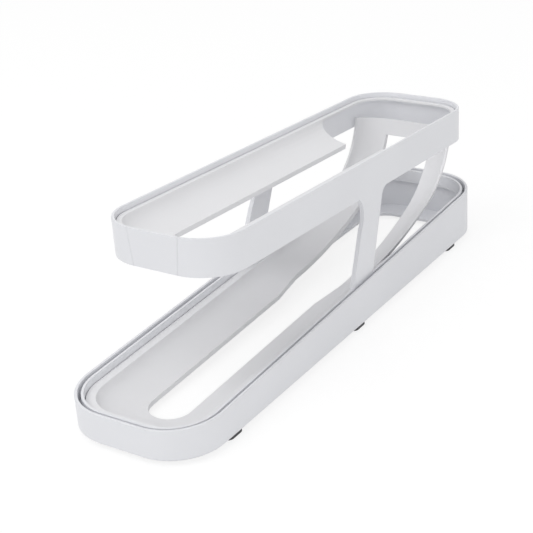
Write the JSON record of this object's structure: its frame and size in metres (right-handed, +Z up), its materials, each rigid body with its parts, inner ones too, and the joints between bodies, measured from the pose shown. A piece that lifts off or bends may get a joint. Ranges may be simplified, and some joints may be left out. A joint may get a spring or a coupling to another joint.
{
  "type": "egg dispenser",
  "caption": "Long two-tier white plastic rack whose sloping troughs let eggs roll to the rear of the upper tier, down a curved chute and forward along the lower tier.",
  "frame": {"origin": "on the table under the middle of the base tray, midway between its front and rear ends", "axes": "+Z up; -Y is the low front end where the eggs come to rest; +Y is the rear end with the chute; +X is to the right seen from the front"},
  "size_m": [0.0916, 0.354, 0.1105],
  "materials": {
    "body_plastic": "satin moulded plastic, cool white",
    "track_plastic": "satin moulded plastic, cool white, smooth inside",
    "foot_rubber": "matte dark grey rubber"
  },
  "bodies": {
    "base": {"base_tray": "body_plastic", "foot_front_left": "foot_rubber", "foot_front_right": "foot_rubber", "foot_middle_left": "foot_rubber", "foot_middle_right": "foot_rubber", "foot_rear_left": "foot_rubber", "foot_rear_right": "foot_rubber"},
    "lower_track": {"lower_track": "track_plastic"},
    "frame": {"frame": "body_plastic"},
    "upper_track": {"upper_track": "track_plastic"}
  },
  "joints": [
    {"name": "lower_track_lift", "type": "slide", "parent": "base", "child": "lower_track", "axis": [0, 0, 1], "range_m": [0, 0.04]},
    {"name": "frame_lift", "type": "slide", "parent": "lower_track", "child": "frame", "axis": [0, 0, 1], "range_m": [0, 0.075]},
    {"name": "upper_track_lift", "type": "slide", "parent": "frame", "child": "upper_track", "axis": [0, 0, 1], "range_m": [0, 0.04]}
  ]
}
